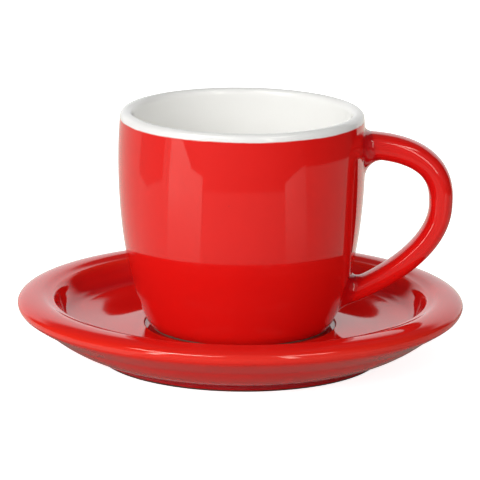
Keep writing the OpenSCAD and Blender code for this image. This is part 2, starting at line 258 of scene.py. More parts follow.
def lay_coat(name, line, loose_start=False, loose_end=False, seed=1, border=NO_BORDER, lift=0.0):
    """A coat with rounded loose ends. border is the place along the line that the other colour starts from."""
    roll = ROLL_W * (1 - np.cos(np.linspace(0, math.pi / 2, ROLL_STEPS)))
    along = line.along
    if loose_start:
        along = np.concatenate([roll, along[along > ROLL_W + ROLL_SPACE]])
    if loose_end:
        along = np.concatenate([along[along < line.length - ROLL_W - ROLL_SPACE], line.length - roll[::-1]])
    depth, pull = np.zeros_like(along), np.zeros_like(along)
    for loose, far in ((loose_start, along), (loose_end, line.length - along)):
        if loose:
            near = np.clip(far / ROLL_W, 0, 1)
            depth = np.maximum(depth, GLAZE_T * (1 - np.sqrt(1 - (1 - near) ** 2)))
            pull = pull + np.clip(1 - far / WANDER_REACH, 0, 1) * (1 if far is along else -1)
    shift = WANDER * (1 + wander(ANGLES, seed))
    outer = [line.at(a + p * shift, d) for a, p, d in zip(along, pull, depth)]
    under = [line.at(a + p * shift, GLAZE_T) for a, p in zip(along, pull)]
    values = {"hollow": np.interp(along, line.along, line.hollow), "edge": along - border}
    there_and_back = {label: np.concatenate([v, v[::-1]]) for label, v in values.items()}
    return spin(name, outer + under[::-1], there_and_back, lift)


def shape_clay(name, line, lift=0.0):
    """The clay under the coats. It comes up to its full width only where it stands."""
    depth = GLAZE_T * np.clip(line.points[:, 1] / BARE_H, 0, 1)
    return spin(name, [line.at(a, d) for a, d in zip(line.along, depth)], {"hollow": line.hollow}, lift)


# %% [markdown]
# The cup and the saucer each stand on a turned foot ring round a shallow hollow. In both the ring is bare and the
# coat in the hollow stops short of it, so one helper draws both hollows and another both rings.

# %% Draw a foot ring and its hollow
FOOT_EDGE_R, FLOOR_RINGS, LEVEL_EDGE_W, RING_OVERLAP = 0.35, 12, 3, 0.05


def foot_hollow(z, hollow_r, corner_r):
    """From the axis out under the floor and down to where the coat of the hollow ends."""
    return np.vstack([
        [[r, z] for r in np.linspace(0, hollow_r - LEVEL_EDGE_W, FLOOR_RINGS)],
        corner([0, z], [hollow_r, z], [hollow_r, 0], corner_r),
        [[hollow_r, BARE_H - RING_OVERLAP]],
    ])


def foot_ring(hollow_r, foot_r, next_place):
    return np.vstack([
        corner([hollow_r, BARE_H], [hollow_r, 0], [foot_r, 0], FOOT_EDGE_R),
        corner([hollow_r, 0], [foot_r, 0], next_place, FOOT_EDGE_R),
    ])


# %% [markdown]
# ## The cup's outline
#
# The cup is 56 mm high and 62 mm over the rim. Its side leaves the foot at a slant, swings up into a belly that is
# widest high on the cup, and draws in a hair towards a rounded lip. The inside follows the outside, with a wall that
# thickens downwards, until it rounds into a bowl with a small level floor.

# %% Draw the cup
CUP_H, RIM_D, BELLY_D, LIP_T, WALL_LOW_T = 56, 62, 62.8, 3.3, 4
CUP_FOOT_D, CUP_RING_W, CUP_HOLLOW_H, CUP_FLOOR_T, LINER_DROP = 45.5, 3, 1.8, 4.2, 1.9
HOLLOW_CORNER_R, LIP_LEAN, FOOT_ANGLE = 1.2, 4, 52
BELLY_SHARE, BOWL_SHARE, LEVEL_SHARE = 0.79, 0.42, 0.42
FOOT_ARM_SHARE, BELLY_ARM_SHARE, LIP_ARM_SHARE, BOWL_ARM_SHARE, LEVEL_ARM_SHARE = 0.094, 0.607, 0.4, 0.45, 0.5
WELL_H, SEAT_DEPTH = 8.4, 0.6
SEAT_Z = WELL_H - SEAT_DEPTH

foot_r, belly, lip_r = CUP_FOOT_D / 2, np.array([BELLY_D / 2, BELLY_SHARE * CUP_H]), LIP_T / 2
lip_centre = np.array([RIM_D / 2 - lip_r, CUP_H - lip_r])
rise = lip_centre[1] - belly[1]
cup_side = np.vstack([
    bend([foot_r, 0], FOOT_ANGLE, FOOT_ARM_SHARE * belly[1], belly, 90, BELLY_ARM_SHARE * belly[1]),
    bend(belly, 90, LIP_ARM_SHARE * rise,
         lip_centre + lip_r * toward(LIP_LEAN), 90 + LIP_LEAN, LIP_ARM_SHARE * rise)[1:],
])
cup_lip = arc(lip_centre, lip_r, LIP_LEAN, 180 + LIP_LEAN)

bowl_z = BOWL_SHARE * CUP_H
floor_z = CUP_HOLLOW_H + CUP_FLOOR_T
outside = Outline(cup_side)
wall_t = LIP_T + (WALL_LOW_T - LIP_T) * (lip_centre[1] - outside.points[:, 1]) / (lip_centre[1] - bowl_z)
inner_wall = (outside.points + wall_t[:, None] * outside.left)[outside.points[:, 1] > bowl_z][::-1]
bowl_way = unit(inner_wall[-1] - inner_wall[-2])
bowl_start = inner_wall[-1]
level_r = LEVEL_SHARE * bowl_start[0]
bowl = curve(
    bowl_start,
    bowl_start + BOWL_ARM_SHARE * (bowl_start[1] - floor_z) * bowl_way,
    [level_r + LEVEL_ARM_SHARE * (bowl_start[0] - level_r), floor_z],
    [level_r, floor_z],
)
floor_points = [[r, floor_z] for r in np.linspace(level_r, 0, FLOOR_RINGS)[1:]]

hollow_r = foot_r - CUP_RING_W
cup_hollow = foot_hollow(CUP_HOLLOW_H, hollow_r, HOLLOW_CORNER_R)
cup_ring = foot_ring(hollow_r, foot_r, [foot_r, 0] + FOOT_EDGE_R * toward(FOOT_ANGLE))
cup_line = Outline(cup_side[1:], cup_lip, inner_wall[1:], bowl[1:], floor_points)
red_end = cup_line.place_of_height(CUP_H - LINER_DROP)
inside = np.vstack([inner_wall, bowl])
slices = math.pi * inside[1:, 0] ** 2 * -np.diff(inside[:, 1])
print("the inside holds about", round(slices.sum() / 1000, 1), "ml")
print("the cup's coat starts", round(float(cup_line.points[0, 1]), 2), "mm up, and its edge is rolled under")

# %% [markdown]
# Two coats share the cup: red outside, white inside and over the lip. They are made as two skins that meet flush,
# 1.9 mm below the top. Each vertex remembers how far it is from that border, so both materials can let the colours
# run into each other there.

# %% Shape the cup's clay and its coats
cup_body = shape_clay("cup_clay", Outline(cup_hollow, cup_ring, cup_line.points), lift=SEAT_Z)
cup_red = lay_coat("cup_red_coat", cup_line.part(0, red_end), loose_start=True, seed=3, border=red_end, lift=SEAT_Z)
liner_part = cup_line.part(red_end, cup_line.length)
cup_white = lay_coat("cup_white_coat", liner_part, border=0, lift=SEAT_Z)
cup_base = lay_coat("cup_base_coat", Outline(cup_hollow), loose_end=True, seed=5, lift=SEAT_Z)

# %% [markdown]
# ## The saucer's outline
#
# The saucer is 114 mm across. From a low foot ring its underside runs out nearly level and then steepens to a broad
# rounded lip. Inside the lip, a narrow flange falls gently to a soft edge. Below it a steep step drops to the nearly
# level floor of the well, and the cup stands in a shallow round seat.

# %% Draw the saucer
SAUCER_D, SAUCER_H, BEAD_R, SAUCER_LIP_W = 114, 16.2, 2.25, 5
FLANGE_W, FLANGE_FALL, STEP_W, WELL_RISE = 8.8, 0.8, 5.7, 0.8
SAUCER_FOOT_D, SAUCER_RING_W, SAUCER_RING_H, SAUCER_FLOOR_T = 72.2, 3.2, 1.7, 4.8
BEAD_FROM, LIP_FROM, FLANGE_ANGLE, STEP_ANGLE, STEP_FOOT_ANGLE, RING_LEAN, KINK_R = -75, -50, 10, 62, 14, 61, 1.2
UNDER_START_ANGLE, UNDER_TURN_ANGLE, UNDER_TURN_SHARES, UNDER_ARM_SHARE = 15, 39, (0.72, 0.655), 0.34
LIP_CURVE_SHARE, FLANGE_ARM_SHARE, STEP_SHARES, STEP_ARM_SHARES = 0.55, 0.5, (0.3, 0.47), (0.25, 0.4, 0.5, 0.45)
SEAT_CLEARANCE, SEAT_WALL_ANGLE, SEAT_EDGE_W, SEAT_CORNER_R, WELL_ARM_SHARE = 1.9, 70, 0.6, 0.3, 0.4
SEAT_RINGS, SEAT_RING_EDGE, SAUCER_CORNER_R, SAUCER_COAT_FROM = 16, 1, 1.6, 0.06

saucer_foot_r = SAUCER_FOOT_D / 2
bead_centre = np.array([SAUCER_D / 2 - BEAD_R, SAUCER_H - BEAD_R])
bead_foot = bead_centre + BEAD_R * toward(BEAD_FROM)
ring_top = np.array([saucer_foot_r + SAUCER_RING_H / math.tan(math.radians(RING_LEAN)), SAUCER_RING_H])
under_turn = ring_top + np.array(UNDER_TURN_SHARES) * (bead_foot - ring_top)
flat_arm = UNDER_ARM_SHARE * (under_turn[0] - ring_top[0])
steep_arm = UNDER_ARM_SHARE * (bead_foot[0] - under_turn[0])
under_start, lip_start = ring_top + KINK_R * toward(UNDER_START_ANGLE), bead_centre + BEAD_R * toward(LIP_FROM)
under = np.vstack([
    corner([saucer_foot_r, 0], ring_top, under_start, KINK_R),
    bend(under_start, UNDER_START_ANGLE, flat_arm, under_turn, UNDER_TURN_ANGLE, flat_arm),
    bend(under_turn, UNDER_TURN_ANGLE, steep_arm, lip_start, 90 + LIP_FROM, steep_arm)[1:],
])
lip_side, lip_top = bead_centre + [BEAD_R, 0], np.array([SAUCER_D / 2 - SAUCER_LIP_W, SAUCER_H])
lip = np.vstack([
    arc(bead_centre, BEAD_R, LIP_FROM, 0, SHORT_STEPS)[1:],
    bend(lip_side, 90, LIP_CURVE_SHARE * (lip_top[1] - lip_side[1]),
         lip_top, 180, LIP_CURVE_SHARE * (lip_side[0] - lip_top[0]))[1:],
])

flange_edge = np.array([SAUCER_D / 2 - FLANGE_W, SAUCER_H - FLANGE_FALL])
flange_arm = FLANGE_ARM_SHARE * (lip_top[0] - flange_edge[0])
flange = bend(lip_top, 180, flange_arm, flange_edge, 180 + FLANGE_ANGLE, flange_arm, SHORT_STEPS)[1:]
step_foot = np.array([flange_edge[0] - STEP_W, WELL_H + WELL_RISE])
step_middle = flange_edge + np.array(STEP_SHARES) * (step_foot - flange_edge)
top_run, foot_run = np.linalg.norm(step_middle - flange_edge), np.linalg.norm(step_foot - step_middle)
arms = np.array(STEP_ARM_SHARES) * [top_run, top_run, foot_run, foot_run]
step = np.vstack([
    bend(flange_edge, 180 + FLANGE_ANGLE, arms[0], step_middle, 180 + STEP_ANGLE, arms[1], SHORT_STEPS)[1:],
    bend(step_middle, 180 + STEP_ANGLE, arms[2], step_foot, 180 + STEP_FOOT_ANGLE, arms[3], SHORT_STEPS)[1:],
])

seat_r = foot_r + SEAT_CLEARANCE
seat_wall_r = seat_r - SEAT_DEPTH / math.tan(math.radians(SEAT_WALL_ANGLE))
seat_edge = [seat_r + SEAT_EDGE_W, WELL_H]
well_arm = WELL_ARM_SHARE * (step_foot[0] - seat_r)
well = bend(step_foot, 180 + STEP_FOOT_ANGLE, well_arm, seat_edge, 180, well_arm)[1:]
seat = np.vstack([
    corner(seat_edge, [seat_r, WELL_H], [seat_wall_r, SEAT_Z], SEAT_CORNER_R),
    corner([seat_r, WELL_H], [seat_wall_r, SEAT_Z], [0, SEAT_Z], SEAT_CORNER_R),
    [[r, SEAT_Z] for r in np.linspace(seat_wall_r - SEAT_RING_EDGE, 0, SEAT_RINGS)],
])

base_z = SEAT_Z - SAUCER_FLOOR_T
saucer_hollow_r = saucer_foot_r - SAUCER_RING_W
saucer_hollow = foot_hollow(base_z, saucer_hollow_r, SAUCER_CORNER_R)
saucer_ring = foot_ring(saucer_hollow_r, saucer_foot_r, ring_top)
start_share = SAUCER_COAT_FROM / math.sin(math.radians(RING_LEAN))
saucer_start = np.array([saucer_foot_r, 0]) + start_share * toward(RING_LEAN)
saucer_line = Outline([saucer_start], under, lip, flange, step, well, seat)

# %% Shape the saucer's clay and its coats
saucer_body = shape_clay("saucer_clay", Outline(saucer_hollow, saucer_ring, saucer_line.points))
saucer_red = lay_coat("saucer_red_coat", saucer_line, loose_start=True, seed=7)
saucer_base = lay_coat("saucer_base_coat", Outline(saucer_hollow), loose_end=True, seed=9)

# %% [markdown]
# ## The handle
#
# The loop is a strap whose middle line leaves the wall level, swings round and comes back at a slant. Its section is
# a softened rectangle, thicker and wider at the top. Where the strap lands on the cup, the joint was wiped smooth, so
# it flares into the wall with a generous fillet on the finger's side and a small one outside. A boolean with a bevel
# would leave a ragged seam on a curved wall. Instead, every line of the strap's surface is followed until it is one
# fillet radius from the wall, and is then led round an arc that touches the wall.

# %% Follow the middle line of the strap
HANDLE_OUT, STRAP_T, STRAP_LOW_T, STRAP_W, STRAP_LOW_W = 19.4, 6.9, 5.2, 9.8, 8.6
UPPER_ROOT_DROP, LOWER_ROOT_RISE, ROOT_INSET = 8.6, 7, 3.2
UPPER_ROOT_ANGLE, LOWER_ROOT_ANGLE = 1, 16.6
FILLETS = {"upper": (1.6, 5.0), "lower": (2.0, 4.0), "side": 2.6}
OUTMOST_SHARE, UPPER_ARM_SHARES, LOWER_ARM_SHARES = 0.626, (1.05, 0.215), (0.51, 0.37)

red_points = cup_line.part(0, red_end).points


def wall_radius(z):
    return np.interp(z, red_points[:, 1], red_points[:, 0])


upper_z, lower_z = CUP_H - UPPER_ROOT_DROP, LOWER_ROOT_RISE
upper_root = np.array([wall_radius(upper_z) - ROOT_INSET, upper_z])
lower_root = np.array([wall_radius(lower_z) - ROOT_INSET, lower_z])
outmost = np.array([BELLY_D / 2 + HANDLE_OUT, lower_z + OUTMOST_SHARE * (upper_z - lower_z)])
upper_half = [upper_root,
              upper_root + UPPER_ARM_SHARES[0] * (outmost[0] - upper_root[0]) * toward(UPPER_ROOT_ANGLE),
              outmost + [0, UPPER_ARM_SHARES[1] * (upper_z - outmost[1])], outmost]
lower_half = [outmost, outmost - [0, LOWER_ARM_SHARES[0] * (outmost[1] - lower_z)],
              lower_root + LOWER_ARM_SHARES[1] * (outmost[0] - lower_root[0]) * toward(LOWER_ROOT_ANGLE), lower_root]


def spine(s):
    """The strap's middle line, 0 at the upper root and 1 at the lower one."""
    s = np.asarray(s, float)
    return np.where((s < 0.5)[..., None], cubic(upper_half, 2 * s), cubic(lower_half, 2 * s - 1))


farthest = spine(np.linspace(0, 1, CURVE_STEPS))[:, 0].max()
print("the strap stands out to", round(float(farthest) + STRAP_T / 2, 1), "mm")

# %% [markdown]
# The section is drawn with one number that says how square it is: 2 would be an ellipse, and 2.5 gives the slightly
# flattened sides of a wiped strap.

# %% Place points on the bare strap
SQUARENESS = 2.5
ROUND = 96
TURNS = np.linspace(0, 2 * math.pi, ROUND, endpoint=False)
section_r = (np.abs(np.cos(TURNS)) ** SQUARENESS + np.abs(np.sin(TURNS)) ** SQUARENESS) ** (-1 / SQUARENESS)
SECTION = np.stack([section_r * np.cos(TURNS), section_r * np.sin(TURNS)], axis=1)


def strap_place(s, section):
    """Places on the strap, and the way its section points there."""
    way = spine(np.clip(s + TINY, 0, 1)) - spine(np.clip(s - TINY, 0, 1))
    way /= np.linalg.norm(way, axis=-1)[..., None]
    out = np.stack([-way[..., 1], way[..., 0]], axis=-1)
    half_t = (STRAP_T + (STRAP_LOW_T - STRAP_T) * s) / 2
    half_w = (STRAP_W + (STRAP_LOW_W - STRAP_W) * s) / 2
    middle, rise, side = spine(s), section[0] * half_t, section[1] * half_w
    push = np.stack([out[..., 0] * rise, side, out[..., 1] * rise], axis=-1)
    place = np.stack([middle[..., 0], np.zeros_like(s), middle[..., 1]], axis=-1) + push
    return place, push / np.linalg.norm(push, axis=-1)[..., None]


def wall_gap(place):
    return np.hypot(place[..., 0], place[..., 1]) - wall_radius(place[..., 2])


# %% Lead the strap into the wall at both ends
FILLET_RINGS = 14
STRAP_RINGS = 110
SKIRT_W, SKIRT_SINK = 0.9, 0.05
ROOT_SEARCH, SEARCH_STEPS, SLOPE_STEP = 0.25, 500, 0.05


def fillet_radius(end, turn):
    outer, inner = FILLETS[end]
    share = math.cos(turn) ** 2
    return FILLETS["side"] + share * ((outer if math.cos(turn) > 0 else inner) - FILLETS["side"])


def onto_wall(place, gap):
    """Moves a place in or out until it is that far from the wall."""
    far = math.hypot(place[0], place[1])
    scale = (wall_radius(place[2]) + gap) / far
    return np.array([place[0] * scale, place[1] * scale, place[2]])


def wall_normal(place):
    slope = (wall_radius(place[2] + SLOPE_STEP) - wall_radius(place[2] - SLOPE_STEP)) / (2 * SLOPE_STEP)
    far = math.hypot(place[0], place[1])
    return unit(np.array([place[0] / far, place[1] / far, -slope]))


def fillet_line(end, k):
    """From under the wall out to the strap, along one line of its surface, and where the bare strap starts."""
    root, inwards = (0, 1) if end == "upper" else (1, -1)
    search = np.linspace(root, root + inwards * ROOT_SEARCH, SEARCH_STEPS)
    gaps = wall_gap(strap_place(search, SECTION[k])[0])
    r = fillet_radius(end, TURNS[k])
    line = []
    for angle in np.linspace(0, math.pi / 2, FILLET_RINGS):
        gap, reach = r * (1 - math.cos(angle)), r * (1 - math.sin(angle))
        s = np.interp(gap, gaps, search)
        place, push = strap_place(np.array(s), SECTION[k])
        normal = wall_normal(place)
        slide = unit(push - (push @ normal) * normal)
        line.append(onto_wall(place + reach * slide, gap))
        if angle == 0:
            line.insert(0, onto_wall(place + (reach + SKIRT_W) * slide, -SKIRT_SINK))
    return line, float(np.interp(r, gaps, search))


strands = []
for k in range(ROUND):
    first, start = fillet_line("upper", k)
    last, end = fillet_line("lower", k)
    share = np.linspace(0, 1, STRAP_RINGS + 2)[1:-1]
    between = strap_place(start + (end - start) * share, SECTION[k])[0]
    strands.append(np.vstack([first, between, last[::-1]]))
strap = np.transpose(np.array(strands), (1, 0, 2))
print("the strap's skin is", strap.shape[0], "rings of", strap.shape[1], "places")

# %% [markdown]
# The coat of glaze on the loop is a shell: the skin above, and the same skin one coat deeper, joined at both ends
# under the wall. To go one coat deeper, every place needs the way that the skin faces there. Glaze pools in the
# fillets at the roots and thins where the strap bulges, so the bend of the skin along the loop is measured too.

# %% Measure which way the strap's skin faces and how it bends
def grid_normals(grid):
    along = np.gradient(grid, axis=0)
    across = np.roll(grid, -1, axis=1) - np.roll(grid, 1, axis=1)
    normal = np.cross(across, along)
    return normal / np.linalg.norm(normal, axis=2)[..., None]


rings, half_way = len(strap), len(strap) // 2
strap_normals = grid_normals(strap)
if strap_normals[half_way, 0] @ (strap[half_way, 0] - strap[half_way].mean(axis=0)) < 0:
    strap_normals = -strap_normals

bend_share = np.zeros(strap.shape[:2])
for i in range(1, rings - 1):
    before, after = strap[i] - strap[i - 1], strap[i + 1] - strap[i]
    before_l, after_l = np.linalg.norm(before, axis=1), np.linalg.norm(after, axis=1)
    turn = np.sum((after / after_l[:, None] - before / before_l[:, None]) * strap_normals[i], axis=1)
    bend_share[i] = turn / (0.5 * (before_l + after_l))
print("the skin bends by", round(float(bend_share.min()), 2), "to", round(float(bend_share.max()), 2), "per mm")

# %% Make the coat of the loop
lift = np.array([0, 0, SEAT_Z])


def between_rings(low, high):
    """Faces that join two rings, given by their first vertices."""
    return [[low + j, low + (j + 1) % ROUND, high + (j + 1) % ROUND, high + j] for j in range(ROUND)]


def skin(rings, first=0):
    starts = first + ROUND * np.arange(rings)
    return [face for low, high in zip(starts, starts[1:]) for face in between_rings(int(low), int(high))]


strap_inner = strap - GLAZE_T * strap_normals
below, last = rings * ROUND, (rings - 1) * ROUND
inner_faces = [face[::-1] for face in skin(rings, below)]
start_faces = [[j, below + j, below + (j + 1) % ROUND, (j + 1) % ROUND] for j in range(ROUND)]
handle_red = make_piece(
    "handle_red_coat",
    np.vstack([strap.reshape(-1, 3), strap_inner.reshape(-1, 3)]) + lift,
    skin(rings) + inner_faces + start_faces + between_rings(last, below + last),
    {"hollow": np.tile(bend_share.reshape(-1), 2), "edge": np.full(2 * below, -NO_BORDER)},
)

# %% [markdown]
# The clay of the loop fills its coat, a hair smaller so that the two skins never flicker through each other. A fan of
# faces closes each of its ends.

# %% Make the clay of the loop
CLAY_SINK = 0.02

clay_rings = (strap - (GLAZE_T + CLAY_SINK) * strap_normals)[1:-1]
first_end, last_ring = len(clay_rings) * ROUND, (len(clay_rings) - 1) * ROUND
clay_places = np.vstack([clay_rings.reshape(-1, 3), clay_rings[0].mean(axis=0), clay_rings[-1].mean(axis=0)]) + lift
caps = [[first_end, (j + 1) % ROUND, j] for j in range(ROUND)]
caps += [[first_end + 1, last_ring + j, last_ring + (j + 1) % ROUND] for j in range(ROUND)]
clay_faces = skin(len(clay_rings)) + caps
handle_clay = make_piece("handle_clay", clay_places, clay_faces, {"hollow": np.zeros(len(clay_places))})

# %% [markdown]
# A skin whose faces point inwards would shade wrongly, so each piece's volume is measured from its faces. It has to
# come out positive, and where it does not, the faces are turned round.

# %% Check that every skin faces outwards
def turn_outwards(thing):
    work = bmesh.new()
    work.from_mesh(thing.data)
    if work.calc_volume(signed=True) < 0:
        bmesh.ops.reverse_faces(work, faces=work.faces)
        work.to_mesh(thing.data)
    print(thing.name, round(work.calc_volume(signed=True) / MM ** 3), "mm3")
    work.free()


skins = [cup_body, cup_red, cup_white, cup_base, saucer_body, saucer_red, saucer_base, handle_red, handle_clay]
for thing in skins:
    turn_outwards(thing)

# %% [markdown]
# ## Say what each piece stands for
#
# Each dressed piece takes the place of one node of the construction model and rides on its body, so that the cup
# lifts off the saucer as one thing. Each also names the finish that it wears.

# %% Tie the pieces to the model
ROLES = [
    (saucer_body, "saucer", "saucer_body", "stoneware"),
    (saucer_red, "saucer", "saucer_glaze", "red_glaze"),
    (saucer_base, "saucer", "saucer_base_glaze", "red_glaze"),
    (cup_body, "cup", "cup_body", "stoneware"),
    (cup_white, "cup", "cup_liner_glaze", "white_glaze"),
    (cup_red, "cup", "cup_outside_glaze", "red_glaze"),
    (cup_base, "cup", "cup_base_glaze", "red_glaze"),
    (handle_clay, "cup", "handle", "stoneware"),
    (handle_red, "cup", "handle_glaze", "red_glaze"),
]
for piece, body, node, finish in ROLES:
    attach(piece, body)
    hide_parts(node)
print(len(ROLES), "pieces stand for", len(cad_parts), "nodes")

# %% [markdown]
# ## Node tools
#
# Materials are graphs of nodes. A few helpers keep the graphs readable: they make a node and feed it, and start and
# use a group with named inputs and outputs.

# %% Make nodes, groups and finishes
def feed(tree, inputs, values):
    """Feeds inputs by name or number, each from another node's output or with a plain value."""
    for name, value in values.items():
        if isinstance(value, bpy.types.NodeSocket):
            tree.links.new(value, inputs[name])
        else:
            inputs[name].default_value = value


def add(tree, kind, values=None, **settings):
    """A node with settings by attribute name and values for its inputs."""
    node = tree.nodes.new("ShaderNode" + kind)
    for name, value in settings.items():
        setattr(node, name, value)
    feed(tree, node.inputs, values or {})
    return node


def maths(tree, operation, a, b=0.0, clamp=False):
    return add(tree, "Math", {0: a, 1: b}, operation=operation, use_clamp=clamp).outputs[0]


def blend_colours(tree, share, a, b):
    return add(tree, "Mix", {0: share, 6: a, 7: b}, data_type="RGBA").outputs[2]


def group(name, inputs, outputs):
    """A shader node group. inputs are (name, kind, default), outputs are (name, kind)."""
    tree = bpy.data.node_groups.new(name, "ShaderNodeTree")
    for label, kind, default in inputs:
        socket = tree.interface.new_socket(label, in_out="INPUT", socket_type="NodeSocket" + kind)
        socket.default_value = default
    for label, kind in outputs:
        tree.interface.new_socket(label, in_out="OUTPUT", socket_type="NodeSocket" + kind)
    return tree, tree.nodes.new("NodeGroupInput").outputs, tree.nodes.new("NodeGroupOutput").inputs


def use(tree, group_name, values):
    return add(tree, "Group", values, node_tree=bpy.data.node_groups[group_name]).outputs


def new_finish(name):
    """A material, its graph and the inputs of its shader."""
    material = bpy.data.materials.new(name)
    material.use_nodes = True
    return material, material.node_tree, material.node_tree.nodes["Principled BSDF"].inputs


# %% [markdown]
# Two patterns come back in every finish: clouds, given by their scale, detail and roughness, and small round spots in
# a few cells of a honeycomb, given by its scale, the share of empty cells and the size of a spot.

# %% Make clouds and spots
def clouds(tree, place, scale, detail, roughness):
    values = {"Vector": place, "Scale": scale, "Detail": detail, "Roughness": roughness}
    return add(tree, "TexNoise", values).outputs["Fac"]


def spots(tree, place, scale, empty_share, size):
    cells = add(tree, "TexVoronoi", {"Vector": place, "Scale": scale, "Randomness": 1.0}, feature="F1").outputs
    chance = add(tree, "SeparateColor", {"Color": cells["Color"]}).outputs[0]
    rare, dot = maths(tree, "GREATER_THAN", chance, empty_share), maths(tree, "LESS_THAN", cells["Distance"], size)
    return maths(tree, "MULTIPLY", rare, dot)


# %% [markdown]
# ## What fired glaze does
#
# Fired glaze is glass. It is never quite flat: it keeps slow ripples from its own flow and a fine orange peel. It is
# deeper where it pools and thinner over edges, and tiny bubbles burst and leave pinholes. One group makes all of
# that, so the red and the white finish share it and only their numbers differ.

# %% Build the glaze group
CLOUDING, FLOW, PEEL, BUBBLES = (55.0, 3.0, 0.5), (95.0, 1.0, 0.4), (900.0, 2.0, 0.5), (330.0, 0.93, 0.055)
THINS_BY, DEEPENS_BY, HAZE, PEEL_H, PIT_H = -1.1, 1.6, 0.03, 0.02, -0.6

tree, given, result = group(
    "fired_glaze",
    [("Colour", "Color", (1, 1, 1, 1)), ("Thin colour", "Color", (1, 1, 1, 1)),
     ("Deep colour", "Color", (0, 0, 0, 1)), ("Mottle", "Float", 0.1), ("Ripple", "Float", 1.0),
     ("Smoothness", "Float", 0.05), ("Pinholes", "Float", 1.0)],
    [("Colour", "Color"), ("Roughness", "Float"), ("Height", "Float")],
)
place = add(tree, "TexCoord").outputs["Object"]
hollow = add(tree, "Attribute", attribute_name="hollow").outputs["Fac"]
cloud, flow, peel = (clouds(tree, place, *pattern) for pattern in (CLOUDING, FLOW, PEEL))
pinhole = maths(tree, "MULTIPLY", spots(tree, place, *BUBBLES), given["Pinholes"])
thin = maths(tree, "MULTIPLY", hollow, THINS_BY, clamp=True)
deep = maths(tree, "MULTIPLY", hollow, DEEPENS_BY, clamp=True)
mottle = maths(tree, "MULTIPLY", maths(tree, "SUBTRACT", cloud, 0.5), given["Mottle"])
shade = blend_colours(tree, thin, given["Colour"], given["Thin colour"])
shade = blend_colours(tree, maths(tree, "ADD", deep, mottle, clamp=True), shade, given["Deep colour"])
shade = blend_colours(tree, pinhole, shade, given["Deep colour"])
haze = maths(tree, "MULTIPLY", cloud, HAZE)
wave = maths(tree, "MULTIPLY", flow, given["Ripple"])
fine, pit = maths(tree, "MULTIPLY", peel, PEEL_H), maths(tree, "MULTIPLY", pinhole, PIT_H)
feed(tree, result, {
    "Colour": shade,
    "Roughness": maths(tree, "ADD", haze, given["Smoothness"]),
    "Height": maths(tree, "ADD", maths(tree, "ADD", wave, fine), pit),
})
print("fired_glaze has", len(tree.nodes), "nodes")

# %% [markdown]
# Where red meets white, the potter's line is crisp but not ruled: it wavers by a tenth of a millimetre or two, and a
# pink fringe shows where the white glaze has thinned over the red. The border group turns a vertex's distance from
# the line into a mask with those wobbles, and both finishes read the same mask.

# %% Build the border group
EDGE_WAVES = (120.0, 2.0, 0.6)

tree, given, result = group(
    "glaze_border", [("Waver", "Float", 0.2), ("Fringe", "Float", 0.25)], [("White share", "Float")])
slow = clouds(tree, add(tree, "TexCoord").outputs["Object"], *EDGE_WAVES)
wobble = maths(tree, "MULTIPLY", maths(tree, "SUBTRACT", slow, 0.5), given["Waver"])
from_line = maths(tree, "ADD", add(tree, "Attribute", attribute_name="edge").outputs["Fac"], wobble)
share = maths(tree, "ADD", maths(tree, "DIVIDE", from_line, given["Fringe"]), 0.5, clamp=True)
feed(tree, result, {"White share": share})
print("glaze_border has", len(tree.nodes), "nodes")

# %% [markdown]
# ## The finishes
#
# The red is a warm signal red, a touch more orange where it thins over the lip and deeper in the fillets. The white
# is slightly creamy and warms where it pools at the bottom of the bowl. Both are glass, so they reflect the room
# sharply and have no metal in them.

# %% Mix the red and the white glaze
RED = {
    "Colour": (0.78, 0.009, 0.007, 1), "Thin colour": (0.84, 0.027, 0.012, 1), "Deep colour": (0.38, 0.001, 0.010, 1),
    "Mottle": 0.22, "Ripple": 1.0, "Smoothness": 0.035, "Pinholes": 0.5,
}
WHITE = {
    "Colour": (0.91, 0.905, 0.88, 1), "Thin colour": (0.945, 0.94, 0.915, 1), "Deep colour": (0.86, 0.85, 0.80, 1),
    "Mottle": 0.3, "Ripple": 1.0, "Smoothness": 0.06, "Pinholes": 0.35,
}
BORDER = {"Waver": 0.5, "Fringe": 0.28}
GLAZE_IOR, GLAZE_WAVE_H = 1.5, 0.000025


def glaze(name, main_is_white):
    material, tree, shader = new_finish(name)
    red, white = use(tree, "fired_glaze", RED), use(tree, "fired_glaze", WHITE)
    border = use(tree, "glaze_border", BORDER)
    mine = white if main_is_white else red
    bump = add(tree, "Bump", {"Height": mine["Height"], "Strength": 1.0, "Distance": GLAZE_WAVE_H})
    feed(tree, shader, {
        "Base Color": blend_colours(tree, border["White share"], red["Colour"], white["Colour"]),
        "Roughness": mine["Roughness"], "Normal": bump.outputs["Normal"], "IOR": GLAZE_IOR,
    })
    material.diffuse_color = (WHITE if main_is_white else RED)["Colour"]
    return material


FINISHES = {"red_glaze": glaze("red_glaze", False), "white_glaze": glaze("white_glaze", True)}
print("mixed:", sorted(FINISHES))

# %% [markdown]
# Bare stoneware shows only on the two rings that the cup and the saucer stand on. It is dry and gritty, with dark
# iron specks, and a finger feels its grain. Its dark brown is partly painted shade: each ring sits in the dark
# contact line where it meets what it stands on, so the clay is coloured darker than it is.

# %% Mix the bare stoneware
# Painted shade: the clay and its patches are coloured darker than bare clay, to stand for the dark contact line under
# each foot ring.
CLAY_WITH_PAINTED_SHADE, CLAY_PATCH_WITH_PAINTED_SHADE, CLAY_SPECK = (0.15, 0.085, 0.06, 1), (0.21, 0.13, 0.095, 1), (0.05, 0.03, 0.02, 1)
PATCHES, GRIT, SPECKS = (120.0, 4.0, 0.6), (2600.0, 3.0, 0.65), (900.0, 0.9, 0.25)
CLAY_DULLNESS, GRIT_DULLNESS, GRAIN_STRENGTH, GRAIN_H = 0.68, 0.25, 0.8, 0.00006

